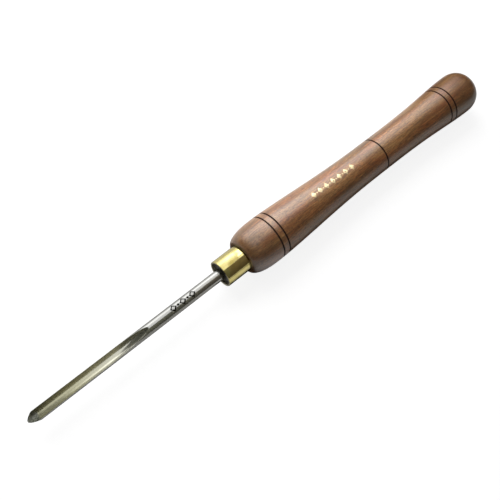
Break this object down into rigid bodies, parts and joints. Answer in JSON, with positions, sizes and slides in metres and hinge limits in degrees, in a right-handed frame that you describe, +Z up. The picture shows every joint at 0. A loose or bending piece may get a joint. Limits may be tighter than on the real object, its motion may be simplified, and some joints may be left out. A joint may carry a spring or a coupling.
{
  "type": "spindle gouge",
  "caption": "Woodturning spindle gouge: fluted round steel bar with a fingernail nose, brass ferrule and a turned hardwood handle with burnt rings.",
  "frame": {"origin": "middle of the tool's box, on the table that it lies on", "axes": "+X along the tool from the cutting edge to the butt of the handle, +Z up out of the open flute"},
  "size_m": [0.488, 0.0408, 0.0408],
  "materials": {
    "steel": "polished high-speed steel, flute left from the grinding wheel",
    "brass": "polished brass tube",
    "wood": "dark reddish-brown hardwood, turned, with a satin lacquer and burnt rings",
    "glue": "cured dark glue"
  },
  "bodies": {
    "root": {"blade": "steel", "ferrule": "brass", "handle": "wood", "tang_bond": "glue"}
  },
  "joints": []
}
